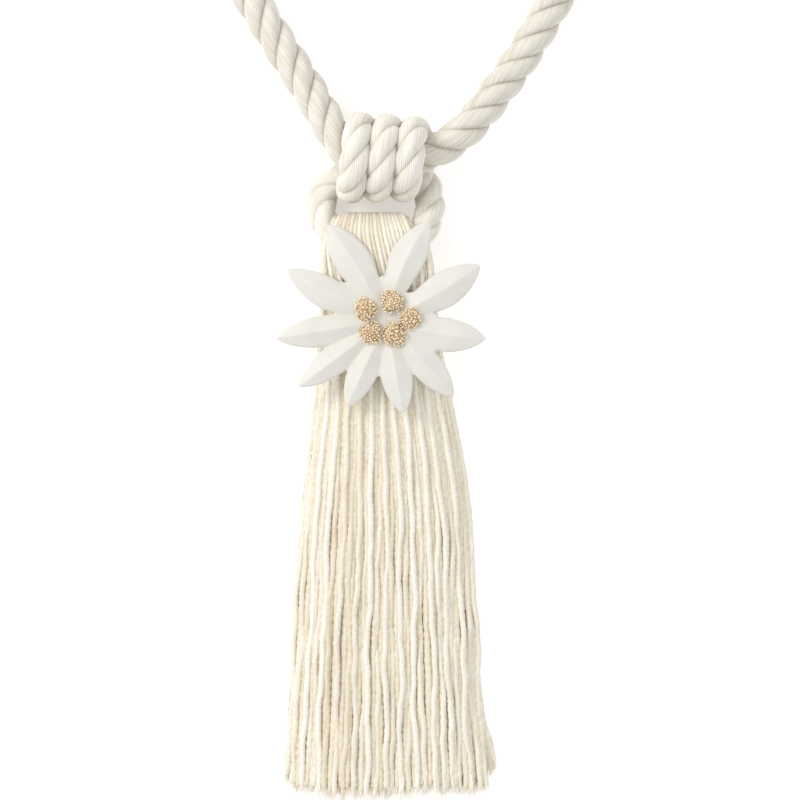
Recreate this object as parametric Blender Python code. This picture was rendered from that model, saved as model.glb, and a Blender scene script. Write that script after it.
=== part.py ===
# Curtain tieback: a loop of thick three-strand rope, a thinner rope coiled round it that
# carries a tassel of folded yarns, and a moulded ten-petal flower on the tassel's front.
# Metres, +Z up. It lies on its back: +Y runs from the tassel to the loop, +Z is the front.
# The origin is the middle of the flat back of the tassel's head.

import math
import random

import bmesh
import bpy
from mathutils import Matrix, Vector

MM = 0.001
GAP = 0.0003              # between pieces that touch
MERGE = 0.000001          # points closer than this are one

# Thick rope, laid as one closed loop whose two ends meet inside the knot
LOOP_DIAMETER = 0.0176
LOOP_LAY = 0.045          # length of one full turn of its strands
LOOP_STEP = 0.0056        # distance between its cross-sections

# Thin rope: three wraps round the thick rope and a bail that holds the tassel
BAIL_DIAMETER = 0.0123
BAIL_LAY = 0.036
BAIL_STEP = 0.0042
WRAP_PITCH = 0.0129
WRAP_LEAN = 0.0012        # how far the wraps lean at the bottom of each turn

# The knot, where the thick rope runs level inside the wraps
KNOT_Y = 0.054
WRAP_PLAY = 0.0009        # the wraps are this much larger than the rope inside them
WRAP_RADIUS = LOOP_DIAMETER / 2 + WRAP_PLAY + BAIL_DIAMETER / 2
KNOT_Z = WRAP_RADIUS + BAIL_DIAMETER / 2 + GAP
FIRST_WRAP_X = 0.0178     # top of the right-hand wrap

# Tassel
HEAD_THICKNESS = 0.034
HEAD_END_Y = -0.0144
HEAD_CORNER = 0.006       # rounding between the head's sides and its back
HEAD_RIDGES = 15          # yarns side by side across the front of the head
HEAD_RIDGE_DEPTH = 0.0008
TUNNEL_CLEARANCE = 0.0004
TUNNEL_STATIONS = 12      # stations of the bail, from each end, that the tunnel follows
STRAND_COLUMNS = 15
STRAND_LAYERS = 6
STRAND_STATIONS = 8
STRAND_ROOT = 0.004       # depth of each strand's root inside the head
STRAND_WIDTH_SHARE = 0.71  # width and depth of a strand in its share of the skirt
STRAND_DEPTH_SHARE = 0.83
STRAND_STAGGER = 0.1      # sideways shift of every other layer, in widths
STRAND_SWAY = 0.03
STRAND_SIDE_FALL = 0.4    # how much thinner the skirt is at its sides
TASSEL_END_Y = -0.252
STRAND_UNEVEN = 0.007     # how much the ends differ

# Flower
FLOWER_X = 0.0041
FLOWER_Y = -0.0241
FLOWER_BACK_Z = HEAD_THICKNESS + GAP
FLOWER_RIM = 0.0022       # thickness at a petal's edge
FLOWER_RIDGE = 0.0026     # height of the fold along each petal
FLOWER_FLAT = 0.0172      # radius of the middle, where the stamen clusters sit
CLUSTER_RADIUS = 0.0052
CLUSTER_HEIGHT = 0.0046

# Route of the thick rope, x y z in mm, from one hidden end in the knot to the other
LOOP_ROUTE = [
    (3.5, 54.0, 0.0), (14.0, 54.0, 0.0), (25.4, 56.2, 0.0), (38.4, 64.0, -1.6),
    (48.2, 74.8, -4.6), (58.0, 88.6, -8.2), (69.6, 105.6, -11.4), (83.8, 129.6, -12.8),
    (98.5, 156.0, -13.0), (109.5, 184.0, -13.0), (114.0, 213.0, -13.0), (110.5, 242.0, -13.0),
    (98.5, 270.0, -13.0), (76.0, 293.0, -13.0), (46.0, 308.0, -13.0), (13.0, 312.5, -13.0),
    (-21.0, 305.5, -13.0), (-52.0, 288.0, -13.0), (-75.5, 262.0, -13.0), (-88.5, 231.0, -13.0),
    (-91.0, 199.0, -13.0), (-83.5, 169.0, -13.0), (-70.5, 146.5, -13.0), (-60.7, 129.6, -12.8),
    (-46.6, 105.6, -11.4), (-33.8, 83.8, -7.8), (-25.8, 69.4, -4.2), (-19.0, 59.4, -1.4),
    (-12.0, 54.9, -0.2), (-4.6, 54.0, 0.0), (2.9, 54.0, 0.0),
]

# Bail, x y z in mm, from the middle of the bar in the tassel's head to the coil
BAIL_RIGHT = [
    (0.3, 13.0, 17.0), (9.0, 13.2, 17.2), (16.5, 15.0, 17.6), (22.0, 20.0, 17.6),
    (24.4, 27.0, 15.6), (24.8, 34.0, 12.2), (24.0, 41.5, 8.6), (22.8, 48.0, 6.9),
]
BAIL_LEFT = [
    (-0.3, 13.0, 17.0), (-9.0, 13.2, 16.8), (-17.2, 15.0, 15.8), (-23.4, 20.0, 13.2),
    (-26.8, 26.2, 10.2), (-27.4, 32.2, 7.8), (-25.4, 37.8, 6.9), (-21.2, 41.0, 7.8),
    (-17.2, 41.2, 10.9), (-14.7, 39.8, 15.6),
]
WRAP_START = -78.0        # degrees round the thick rope, 0 at the top, 90 in front
WRAP_END = 904.0
WRAP_SAMPLES_PER_TURN = 12

# Rows of the tassel's head from its top fold down: y, left and right x, lowest and highest z
HEAD_ROWS = [
    {"y": 27.8, "left": -18.2, "right": 15.2, "low": 13.5, "high": 20.5},
    {"y": 26.4, "left": -19.2, "right": 15.9, "low": 7.2, "high": 27.4},
    {"y": 24.0, "left": -20.4, "right": 16.5, "low": 3.2, "high": 31.2},
    {"y": 20.2, "left": -23.0, "right": 17.8, "low": 0.7, "high": 33.5},
    {"y": 16.0, "left": -26.0, "right": 24.0, "low": 0.0, "high": 34.0},
    {"y": 11.0, "left": -27.2, "right": 26.8, "low": 0.0, "high": 34.0},
    {"y": -2.0, "left": -27.2, "right": 27.0, "low": 0.0, "high": 33.8},
    {"y": -14.4, "left": -27.2, "right": 27.6, "low": 0.0, "high": 33.0},
]

# The tassel below its head: y, left and right x, thickness
SKIRT_ROWS = [
    {"y": -14.4, "left": -26.0, "right": 26.4, "thick": 31.4},
    {"y": -30.0, "left": -29.0, "right": 28.6, "thick": 31.0},
    {"y": -62.0, "left": -33.4, "right": 34.4, "thick": 28.8},
    {"y": -96.0, "left": -37.0, "right": 40.4, "thick": 25.8},
    {"y": -130.0, "left": -39.2, "right": 45.4, "thick": 23.0},
    {"y": -170.0, "left": -41.4, "right": 47.6, "thick": 20.6},
    {"y": -212.0, "left": -43.8, "right": 50.4, "thick": 18.4},
    {"y": -252.0, "left": -46.4, "right": 53.4, "thick": 16.8},
]

# Petals: direction in degrees from +X, length and greatest half width in mm, rise of the tip
PETALS = [
    {"angle": 29.9, "length": 51.4, "half": 8.2, "rise": 0.8},
    {"angle": 66.5, "length": 50.9, "half": 8.4, "rise": 0.0},
    {"angle": 121.5, "length": 52.8, "half": 8.8, "rise": 0.0},
    {"angle": 153.3, "length": 52.5, "half": 8.0, "rise": 0.8},
    {"angle": 189.7, "length": 53.2, "half": 8.0, "rise": 1.2},
    {"angle": 217.4, "length": 52.8, "half": 7.4, "rise": 0.6},
    {"angle": 245.9, "length": 45.4, "half": 7.4, "rise": 0.0},
    {"angle": 280.2, "length": 45.4, "half": 7.8, "rise": 0.0},
    {"angle": 311.1, "length": 48.5, "half": 7.8, "rise": 0.4},
    {"angle": 348.9, "length": 48.1, "half": 8.4, "rise": 1.0},
]
PETAL_WIDEST = 0.58       # where along its length a petal is widest
PETAL_COLUMNS = (-0.72, -0.46, -0.26, -0.12, 0.0, 0.12, 0.26, 0.46, 0.72)
FLOWER_RINGS = (0.0, 0.2, 0.45, 0.7, 0.9, 1.0)   # from the flat middle to the outline

# Stamen clusters: place on the flower in mm from its middle, stretch along y
CLUSTERS = [
    {"x": 2.5, "y": 8.6, "stretch": 1.0},
    {"x": 11.2, "y": 0.5, "stretch": 1.0},
    {"x": 3.7, "y": -7.3, "stretch": 1.12},
    {"x": -7.4, "y": -6.6, "stretch": 1.0},
    {"x": -9.8, "y": 4.7, "stretch": 1.0},
]


def clear_scene():
    for thing in list(bpy.data.objects):
        bpy.data.objects.remove(thing, do_unlink=True)


def make_collection(name):
    collection = bpy.data.collections.new(name)
    bpy.context.scene.collection.children.link(collection)
    return collection


def make_material(name, colour, roughness):
    material = bpy.data.materials.new(name)
    material.use_nodes = True
    shader = material.node_tree.nodes["Principled BSDF"]
    shader.inputs["Base Color"].default_value = (*colour, 1.0)
    shader.inputs["Roughness"].default_value = roughness
    shader.inputs["Metallic"].default_value = 0.0
    return material


def hide_guide(thing):
    thing.hide_render = True
    thing.display_type = "WIRE"


def add_mesh(name, verts, faces, collection, material=None):
    mesh = bpy.data.meshes.new(name)
    mesh.from_pydata(verts, [], faces)
    mesh.validate()
    thing = bpy.data.objects.new(name, mesh)
    collection.objects.link(thing)
    if material:
        mesh.materials.append(material)
    return thing


def close_mesh(mesh):
    # Join points that lie on each other, such as a sweep's caps, and turn the faces outward
    work = bmesh.new()
    work.from_mesh(mesh)
    bmesh.ops.remove_doubles(work, verts=work.verts, dist=MERGE)
    bmesh.ops.recalc_face_normals(work, faces=work.faces)
    work.to_mesh(mesh)
    work.free()


def sweep(name, curve, guides):
    # A mesh made from a bevelled curve
    source = bpy.data.objects.new(name + "_sweep", curve)
    guides.objects.link(source)
    bpy.context.view_layer.update()
    evaluated = source.evaluated_get(bpy.context.evaluated_depsgraph_get())
    mesh = bpy.data.meshes.new_from_object(evaluated)
    bpy.data.objects.remove(source)
    mesh.name = name
    close_mesh(mesh)
    return mesh


def smooth_route(points, step):
    # A Catmull-Rom curve through the points, cut into equal steps
    ends = [points[0] * 2 - points[1]] + points + [points[-1] * 2 - points[-2]]
    fine = []
    for a, b, c, d in zip(ends, ends[1:], ends[2:], ends[3:]):
        for k in range(16):
            t = k / 16
            fine.append(0.5 * (2 * b + (c - a) * t + (2 * a - 5 * b + 4 * c - d) * t ** 2
                               + (3 * b - a - 3 * c + d) * t ** 3))
    fine.append(points[-1])
    lengths = [0.0]
    for a, b in zip(fine, fine[1:]):
        lengths.append(lengths[-1] + (b - a).length)
    count = max(2, round(lengths[-1] / step))
    even = []
    k = 0
    for i in range(count + 1):
        target = lengths[-1] * i / count
        while k < len(fine) - 2 and lengths[k + 1] < target:
            k += 1
        share = (target - lengths[k]) / (lengths[k + 1] - lengths[k])
        even.append(fine[k].lerp(fine[k + 1], share))
    return even


def lobed_profile(name, diameter, guides):
    # Outline of three strands side by side: four points for each strand
    crest, shoulder, groove = diameter / 2, diameter * 0.482, diameter * 0.365
    points = []
    for i in range(12):
        radius = (crest, shoulder, groove, shoulder)[i % 4]
        turn = math.tau * i / 12
        points.append((radius * math.cos(turn), radius * math.sin(turn)))
    curve = bpy.data.curves.new(name, "CURVE")
    curve.dimensions = "2D"
    spline = curve.splines.new("POLY")
    spline.points.add(len(points) - 1)
    for target, (x, y) in zip(spline.points, points):
        target.co = (x, y, 0.0, 1.0)
    spline.use_cyclic_u = True
    thing = bpy.data.objects.new(name, curve)
    guides.objects.link(thing)
    hide_guide(thing)
    return thing


def add_rope(name, route, step, diameter, lay, collection, guides, material):
    # The three-lobed outline swept along the route and turned once in each lay
    curve = bpy.data.curves.new(name, "CURVE")
    curve.dimensions = "3D"
    curve.twist_mode = "MINIMUM"
    curve.bevel_mode = "OBJECT"
    curve.bevel_object = lobed_profile(name + "_outline", diameter, guides)
    curve.use_fill_caps = True
    path = smooth_route(route, step)
    spline = curve.splines.new("POLY")
    spline.points.add(len(path) - 1)
    along = 0.0
    for i, (target, place) in enumerate(zip(spline.points, path)):
        if i:
            along += (place - path[i - 1]).length
        target.co = (*place, 1.0)
        target.tilt = math.tau * along / lay
    mesh = sweep(name, curve, guides)
    mesh.materials.clear()
    mesh.materials.append(material)
    mesh.shade_smooth()
    collection.objects.link(bpy.data.objects.new(name, mesh))
    return path


def loop_route():
    return [Vector((x * MM, y * MM, KNOT_Z + z * MM)) for x, y, z in LOOP_ROUTE]


def wrap_point(degrees):
    turn = math.radians(degrees)
    x = FIRST_WRAP_X - WRAP_PITCH * degrees / 360 + WRAP_LEAN * (1 - math.cos(turn)) / 2
    y = KNOT_Y + WRAP_RADIUS * math.cos(turn)
    z = KNOT_Z + WRAP_RADIUS * math.sin(turn)
    return Vector((x, y, z))


def bail_route():
    right = [Vector(point) * MM for point in BAIL_RIGHT]
    left = [Vector(point) * MM for point in BAIL_LEFT]
    count = round((WRAP_END - WRAP_START) / 360 * WRAP_SAMPLES_PER_TURN)
    wraps = []
    for i in range(count + 1):
        wraps.append(wrap_point(WRAP_START + (WRAP_END - WRAP_START) * i / count))
    return right + wraps + left[::-1]


def row_at(rows, y, name):
    # Value of a column at a place along the tassel, between the rows of its table
    y = y / MM
    for above, below in zip(rows, rows[1:]):
        if y >= below["y"]:
            share = min(1.0, max(0.0, (above["y"] - y) / (above["y"] - below["y"])))
            return (above[name] + (below[name] - above[name]) * share) * MM
    return rows[-1][name] * MM


def head_section(row):
    # Flat back, rounded sides and a ridge for each yarn across the front
    left, right = row["left"] * MM, row["right"] * MM
    low, high = row["low"] * MM, row["high"] * MM
    corner = min(0.36 * (high - low), HEAD_CORNER)
    y = row["y"] * MM
    points = []
    for degrees in (180, 210, 240, 270):
        turn = math.radians(degrees)
        points.append((left + corner + corner * math.cos(turn), y, low + corner + corner * math.sin(turn)))
    for degrees in (270, 300, 330, 360):
        turn = math.radians(degrees)
        points.append((right - corner + corner * math.cos(turn), y, low + corner + corner * math.sin(turn)))
    steps = HEAD_RIDGES * 2
    for i in range(steps + 1):
        turn = math.pi * i / steps
        across = math.copysign(abs(math.cos(turn)) ** 0.62, math.cos(turn))
        up = math.sin(turn) ** 0.62
        depth = HEAD_RIDGE_DEPTH * (i % 2) * min(1.0, up)
        x = (left + right) / 2 + (right - left) / 2 * across
        z = low + corner + (high - low - corner) * up - depth
        points.append((x, y, z))
    return points


def add_head(collection, material):
    rings = [head_section(row)[1:] for row in HEAD_ROWS]
    size = len(rings[0])
    verts = [point for ring in rings for point in ring]
    faces = [list(range(size)), list(range(size * (len(rings) - 1), size * len(rings)))[::-1]]
    for r in range(len(rings) - 1):
        for i in range(size):
            j = (i + 1) % size
            faces.append([r * size + i, (r + 1) * size + i, (r + 1) * size + j, r * size + j])
    head = add_mesh("tassel", verts, faces, collection, material)
    close_mesh(head.data)
    return head


def add_tunnel(path, guides):
    # The way through the head for the bail: both ends of the thin rope, joined across the butt
    near_head = path[:TUNNEL_STATIONS][::-1] + path[-TUNNEL_STATIONS:][::-1]
    curve = bpy.data.curves.new("tunnel", "CURVE")
    curve.dimensions = "3D"
    curve.bevel_depth = BAIL_DIAMETER / 2 + TUNNEL_CLEARANCE
    curve.bevel_resolution = 4
    curve.use_fill_caps = True
    spline = curve.splines.new("POLY")
    spline.points.add(len(near_head) - 1)
    for target, place in zip(spline.points, near_head):
        target.co = (*place, 1.0)
    tunnel = bpy.data.objects.new("tunnel", sweep("tunnel", curve, guides))
    guides.objects.link(tunnel)
    hide_guide(tunnel)
    return tunnel


def add_strands(guides):
    # Locks of yarn below the head, square in section, apart from each other
    chance = random.Random(7)
    verts = []
    faces = []
    root_y = HEAD_END_Y + STRAND_ROOT
    for layer in range(STRAND_LAYERS):
        offset = STRAND_STAGGER if layer % 2 else -STRAND_STAGGER
        for column in range(STRAND_COLUMNS):
            across = (column + 0.5 + offset) / STRAND_COLUMNS
            side = abs(2 * (column + 0.5) / STRAND_COLUMNS - 1) ** 3.2
            end_y = TASSEL_END_Y + STRAND_UNEVEN * chance.random()
            phase = chance.random() * 0.6 + column * 0.5
            start = len(verts)
            for i in range(STRAND_STATIONS + 1):
                along = i / STRAND_STATIONS
                y = root_y + (end_y - root_y) * along
                left, right = row_at(SKIRT_ROWS, y, "left"), row_at(SKIRT_ROWS, y, "right")
                thick = row_at(SKIRT_ROWS, y, "thick") * (1 - STRAND_SIDE_FALL * side)
                pitch = (right - left) / STRAND_COLUMNS
                depth = thick / STRAND_LAYERS
                sway = STRAND_SWAY * pitch * math.sin(phase + along * 7.0)
                x = left + (right - left) * across + sway
                half = pitch * STRAND_WIDTH_SHARE / 2
                low = depth * layer
                high = low + depth * STRAND_DEPTH_SHARE
                if i == 0 and layer == 0:
                    low += (0.4 + 1.2 * side) * MM
                verts += [(x - half, y, low), (x + half, y, low),
                          (x + half, y, high), (x - half, y, high)]
            faces.append([start, start + 1, start + 2, start + 3])
            for i in range(STRAND_STATIONS):
                base = start + 4 * i
                for k in range(4):
                    j = (k + 1) % 4
                    faces.append([base + k, base + 4 + k, base + 4 + j, base + j])
            last = start + 4 * STRAND_STATIONS
            faces.append([last + 3, last + 2, last + 1, last])
    strands = add_mesh("strands", verts, faces, guides)
    close_mesh(strands.data)
    hide_guide(strands)
    return strands


def add_boolean(thing, operation, other):
    modifier = thing.modifiers.new(operation.title(), "BOOLEAN")
    modifier.operation = operation
    modifier.solver = "EXACT"
    modifier.object = other


def petal_half(petal, along):
    # Half width of a petal at a share of its length
    widest = petal["half"] * MM
    if along < PETAL_WIDEST:
        return widest * (1 - 0.3 * ((PETAL_WIDEST - along) / PETAL_WIDEST) ** 2)
    out = min(1.0, (along - PETAL_WIDEST) / (1 - PETAL_WIDEST))
    return widest * math.sqrt(max(0.0, 1 - out ** 2.1))


def petal_reach(petal, offset):
    # How far the petal's outline lies from the flower's middle at an angle from its fold
    length = petal["length"] * MM
    radius = length
    while radius > 0.4 * length:
        if radius * math.sin(abs(offset)) <= petal_half(petal, radius * math.cos(offset) / length):
            break
        radius -= length / 400
    return radius


def flower_columns():
    # One direction for each notch and several across each petal
    columns = []
    for i, petal in enumerate(PETALS):
        before = PETALS[i - 1]["angle"]
        after = PETALS[(i + 1) % len(PETALS)]["angle"]
        left = ((petal["angle"] - before) % 360) / 2
        right = ((after - petal["angle"]) % 360) / 2
        for share in (-1.0,) + PETAL_COLUMNS:
            spread = left if share < 0 else right
            columns.append((petal, math.radians(share * spread), math.radians(spread)))
    return columns


def flower_height(petal, offset, spread, radius):
    # The fold runs along the petal's middle and fades towards the flower's flat middle
    length = petal["length"] * MM
    half = max(petal_half(petal, radius * math.cos(offset) / length), 0.0004)
    side = max(abs(offset) / spread, radius * math.sin(abs(offset)) / half)
    fold = max(0.0, 1 - min(1.0, side) ** 1.4)
    fade = min(1.0, max(0.0, (radius - FLOWER_FLAT) / (0.4 * FLOWER_FLAT)))
    tip = min(1.0, (length - radius) / (0.3 * length) + 0.15)
    return FLOWER_RIM + FLOWER_RIDGE * fold * fade * tip


def add_flower(collection, material):
    columns = flower_columns()
    centre = Vector((FLOWER_X, FLOWER_Y, FLOWER_BACK_Z))
    verts = [centre + Vector((0, 0, FLOWER_RIM)), centre.copy()]
    for petal, offset, spread in columns:
        turn = math.radians(petal["angle"]) + offset
        out = Vector((math.cos(turn), math.sin(turn), 0))
        reach = petal_reach(petal, offset)
        rise = petal["rise"] * MM
        for share in FLOWER_RINGS:
            radius = FLOWER_FLAT + (reach - FLOWER_FLAT) * share
            lift = rise * max(0.0, (radius / (petal["length"] * MM) - 0.4) / 0.6) ** 2
            height = flower_height(petal, offset, spread, radius)
            verts.append(centre + out * radius + Vector((0, 0, height + lift)))
        lift = rise * max(0.0, (reach / (petal["length"] * MM) - 0.4) / 0.6) ** 2
        verts.append(centre + out * reach * 0.985 + Vector((0, 0, lift + 0.0002)))
        verts.append(centre + out * reach * 0.5)
    rings = len(FLOWER_RINGS) + 2
    faces = []
    for i in range(len(columns)):
        a = 2 + i * rings
        b = 2 + (i + 1) % len(columns) * rings
        faces.append([0, a, b])
        for k in range(rings - 1):
            faces.append([a + k, a + k + 1, b + k + 1, b + k])
        faces.append([1, b + rings - 1, a + rings - 1])
    flower = add_mesh("flower", verts, faces, collection, material)
    close_mesh(flower.data)
    flower.data.shade_smooth()


def add_cluster(number, place, collection, material):
    # A lumpy dome with a flat underside
    work = bmesh.new()
    bmesh.ops.create_uvsphere(work, u_segments=12, v_segments=8, radius=1.0)
    for vert in work.verts:
        bump = 0.05 * math.sin(5 * vert.co.x + number) * math.sin(4 * vert.co.y + 2 * number)
        vert.co *= 1 + bump
    bmesh.ops.bisect_plane(work, geom=work.verts[:] + work.edges[:] + work.faces[:], dist=1e-6,
                           plane_co=(0, 0, -0.12), plane_no=(0, 0, -1), clear_outer=True)
    rim = [edge for edge in work.edges if edge.is_boundary]
    bmesh.ops.holes_fill(work, edges=rim)
    lowest = min(vert.co.z for vert in work.verts)
    size = Matrix.Diagonal((CLUSTER_RADIUS, CLUSTER_RADIUS * place["stretch"], CLUSTER_HEIGHT, 1))
    bmesh.ops.translate(work, verts=work.verts, vec=(0, 0, -lowest))
    bmesh.ops.transform(work, matrix=size, verts=work.verts)
    bmesh.ops.recalc_face_normals(work, faces=work.faces)
    name = "stamens_%d" % (number + 1)
    mesh = bpy.data.meshes.new(name)
    work.to_mesh(mesh)
    work.free()
    mesh.materials.append(material)
    mesh.shade_smooth()
    cluster = bpy.data.objects.new(name, mesh)
    cluster.location = (FLOWER_X + place["x"] * MM, FLOWER_Y + place["y"] * MM,
                        FLOWER_BACK_Z + FLOWER_RIM + GAP)
    collection.objects.link(cluster)


def build():
    clear_scene()
    parts = make_collection("curtain_tieback")
    guides = make_collection("cutters")
    cotton = make_material("cotton_rope", (0.82, 0.78, 0.68), 0.85)
    fine_cotton = make_material("cotton_thin_rope", (0.83, 0.79, 0.69), 0.85)
    yarn = make_material("cotton_yarn", (0.86, 0.81, 0.69), 0.9)
    resin = make_material("white_resin", (0.87, 0.86, 0.82), 0.55)
    beads = make_material("beige_stamens", (0.75, 0.56, 0.34), 0.7)

    add_rope("loop_rope", loop_route(), LOOP_STEP, LOOP_DIAMETER, LOOP_LAY, parts, guides, cotton)
    bail_path = add_rope("bail_rope", bail_route(), BAIL_STEP, BAIL_DIAMETER, BAIL_LAY,
                         parts, guides, fine_cotton)
    head = add_head(parts, yarn)
    add_boolean(head, "DIFFERENCE", add_tunnel(bail_path, guides))
    add_boolean(head, "UNION", add_strands(guides))
    add_flower(parts, resin)
    for number, place in enumerate(CLUSTERS):
        add_cluster(number, place, parts, beads)


build()
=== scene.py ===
import math
import random
import bmesh
import bpy
from mathutils import Matrix, Vector


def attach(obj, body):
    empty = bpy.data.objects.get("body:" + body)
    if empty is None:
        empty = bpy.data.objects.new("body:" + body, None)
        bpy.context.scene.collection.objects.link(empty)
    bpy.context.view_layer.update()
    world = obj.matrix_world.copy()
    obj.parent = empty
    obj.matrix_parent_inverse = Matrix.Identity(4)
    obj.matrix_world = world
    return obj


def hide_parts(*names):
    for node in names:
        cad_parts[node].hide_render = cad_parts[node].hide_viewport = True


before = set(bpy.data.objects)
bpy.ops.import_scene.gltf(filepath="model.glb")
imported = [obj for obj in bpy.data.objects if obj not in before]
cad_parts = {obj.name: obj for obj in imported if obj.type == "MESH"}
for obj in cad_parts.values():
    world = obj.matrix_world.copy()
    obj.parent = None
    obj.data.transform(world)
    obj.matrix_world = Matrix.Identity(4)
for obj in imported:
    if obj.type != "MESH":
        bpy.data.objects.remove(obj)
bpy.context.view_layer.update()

mm = 0.001
restHeight = 0.0002  # nothing is drawn lower than this above the surface
scene = bpy.context.scene
scene.view_settings.view_transform = "Standard"


# Node trees are written as calls, and their maths as maths

class Wire:
    def __init__(self, sheet, node, socket):
        self.sheet = sheet
        self.node = node
        self.socket = socket

    def out(self, name):
        socket = next(s for s in self.node.outputs if s.enabled and s.name == name)
        return Wire(self.sheet, self.node, socket)

    def maths(self, operation, *terms):
        return self.sheet.add("ShaderNodeMath", {"operation": operation}, *terms)

    def __add__(self, other):
        return self.maths("ADD", self, other)

    def __radd__(self, other):
        return self.maths("ADD", other, self)

    def __sub__(self, other):
        return self.maths("SUBTRACT", self, other)

    def __rsub__(self, other):
        return self.maths("SUBTRACT", other, self)

    def __mul__(self, other):
        return self.maths("MULTIPLY", self, other)

    def __truediv__(self, other):
        return self.maths("DIVIDE", self, other)

    def __pow__(self, other):
        return self.maths("POWER", self, other)

    def __neg__(self):
        return self.maths("MULTIPLY", self, -1.0)

    def __abs__(self):
        return self.maths("ABSOLUTE", self)


class Sheet:
    def __init__(self, tree):
        self.tree = tree

    def add(self, kind, settings=None, *values, **named):
        node = self.tree.nodes.new(kind)
        for key, value in (settings or {}).items():
            setattr(node, key, value)
        inputs = [s for s in node.inputs if s.enabled]
        for socket, value in zip(inputs, values):
            self.feed(socket, value)
        for name, value in named.items():
            wanted = name.replace("_", " ")
            self.feed(next(s for s in inputs if s.name == wanted), value)
        outputs = [s for s in node.outputs if s.enabled]
        return Wire(self, node, outputs[0] if outputs else None)

    def feed(self, socket, value):
        # a wire or a list of wires is linked, and anything else is the socket's own value
        if isinstance(value, Wire):
            self.tree.links.new(value.socket, socket)
        elif isinstance(value, list):
            for one in reversed(value):
                self.tree.links.new(one.socket, socket)
        else:
            isColour = socket.type == "RGBA" and len(value) == 3
            socket.default_value = (*value, 1.0) if isColour else value

    def vector(self, operation, *terms, **named):
        return self.add("ShaderNodeVectorMath", {"operation": operation}, *terms, **named)


def paintSheet(name):
    material = bpy.data.materials.new(name)
    material.use_nodes = True
    material.node_tree.nodes.clear()
    return material, Sheet(material.node_tree)


def mixColour(sheet, share, one, other):
    return sheet.add("ShaderNodeMix", {"data_type": "RGBA"}, share, one, other).out("Result")


def clampShare(sheet, value):
    return sheet.add("ShaderNodeClamp", None, value)


def linear(red, green, blue):
    # an eye colour of 0 to 255 as the light it stands for
    return tuple(((c / 255 + 0.055) / 1.055) ** 2.4 for c in (red, green, blue))


def addObject(name, data):
    thing = bpy.data.objects.new(name, data)
    scene.collection.objects.link(thing)
    return thing


def reportTriangles(piece):
    print(f"{piece.name}: {sum(len(p.vertices) - 2 for p in piece.data.polygons)} triangles")


# Geometry trees: named inputs, grown on a base mesh and turned to a plain mesh

def growthSheet(name, sizes):
    tree = bpy.data.node_groups.new(name, "GeometryNodeTree")
    tree.interface.new_socket("Geometry", in_out="INPUT", socket_type="NodeSocketGeometry")
    kinds = {float: "NodeSocketFloat", int: "NodeSocketInt", bpy.types.Material: "NodeSocketMaterial"}
    for label, value in sizes.items():
        socket = tree.interface.new_socket(label, in_out="INPUT", socket_type=kinds[type(value)])
        if not isinstance(value, bpy.types.Material):
            socket.default_value = value
    tree.interface.new_socket("Geometry", in_out="OUTPUT", socket_type="NodeSocketGeometry")
    sheet = Sheet(tree)
    return sheet, sheet.add("NodeGroupInput")


def finishGrowth(sheet, geometry, material):
    whole = sheet.add("GeometryNodeRealizeInstances", None, geometry)
    whole = sheet.add("GeometryNodeSetMaterial", None, whole, Material=material)
    sheet.add("NodeGroupOutput", None, whole)


def grow(name, base, tree, sizes):
    modifier = base.modifiers.new("growth", "NODES")
    modifier.node_group = tree
    for item in tree.interface.items_tree:
        if item.in_out == "INPUT" and item.name in sizes:
            modifier[item.identifier] = sizes[item.name]
    depsgraph = bpy.context.evaluated_depsgraph_get()
    grown = base.evaluated_get(depsgraph)
    mesh = bpy.data.meshes.new_from_object(grown, preserve_all_data_layers=True, depsgraph=depsgraph)
    bpy.data.objects.remove(base)
    piece = addObject(name, mesh)
    mesh.name = name
    reportTriangles(piece)
    return piece


def nameValue(sheet, geometry, kind, label, value):
    settings = {"data_type": kind, "domain": "POINT"}
    return sheet.add("GeometryNodeStoreNamedAttribute", settings, geometry, Name=label, Value=value)


def readValue(sheet, kind, label):
    return sheet.add("GeometryNodeInputNamedAttribute", {"data_type": kind}, label)


def stayAbove(sheet, geometry):
    # nothing goes through the surface that the tieback lies on
    place = sheet.add("ShaderNodeSeparateXYZ", None, sheet.add("GeometryNodeInputPosition"))
    height = place.out("Z")
    held = sheet.add("ShaderNodeCombineXYZ", None, place.out("X"), place.out("Y"),
                     height.maths("MAXIMUM", height, restHeight))
    return sheet.add("GeometryNodeSetPosition", None, geometry, Position=held)


def flutedRing(sheet, count, radius, flutes, depth):
    # a round profile with a groove between its yarns; each point keeps its place, and its crest, by
    # which the paint puts painted shade in the valleys
    place = sheet.add("GeometryNodeInputPosition")
    ring = sheet.add("GeometryNodeCurvePrimitiveCircle", {"mode": "RADIUS"}, Resolution=count,
                     Radius=radius)
    ring = nameValue(sheet, ring, "FLOAT_VECTOR", "ring", place)
    turn = sheet.add("GeometryNodeSplineParameter").out("Factor") * flutes * math.pi
    crest = abs(turn.maths("SINE", turn))
    ring = nameValue(sheet, ring, "FLOAT", "crest", crest)
    shrunk = sheet.vector("SCALE", place, Scale=1 - depth * (1 - crest))
    return sheet.add("GeometryNodeSetPosition", None, ring, Position=shrunk)


def nameLay(sheet, surface, apart):
    # each point's place on its own yarn, for the paint; the last value sets the yarns apart
    flat = sheet.add("ShaderNodeSeparateXYZ", None, readValue(sheet, "FLOAT_VECTOR", "ring"))
    lay = sheet.add("ShaderNodeCombineXYZ", None, flat.out("X"), flat.out("Y"),
                    readValue(sheet, "FLOAT", "along") + apart)
    return nameValue(sheet, surface, "FLOAT_VECTOR", "lay", lay)


def randomWay(sheet, seed):
    return sheet.add("FunctionNodeRandomValue", {"data_type": "FLOAT_VECTOR"}, (-1, -1, -1),
                     (1, 1, 1), Seed=seed)


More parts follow.
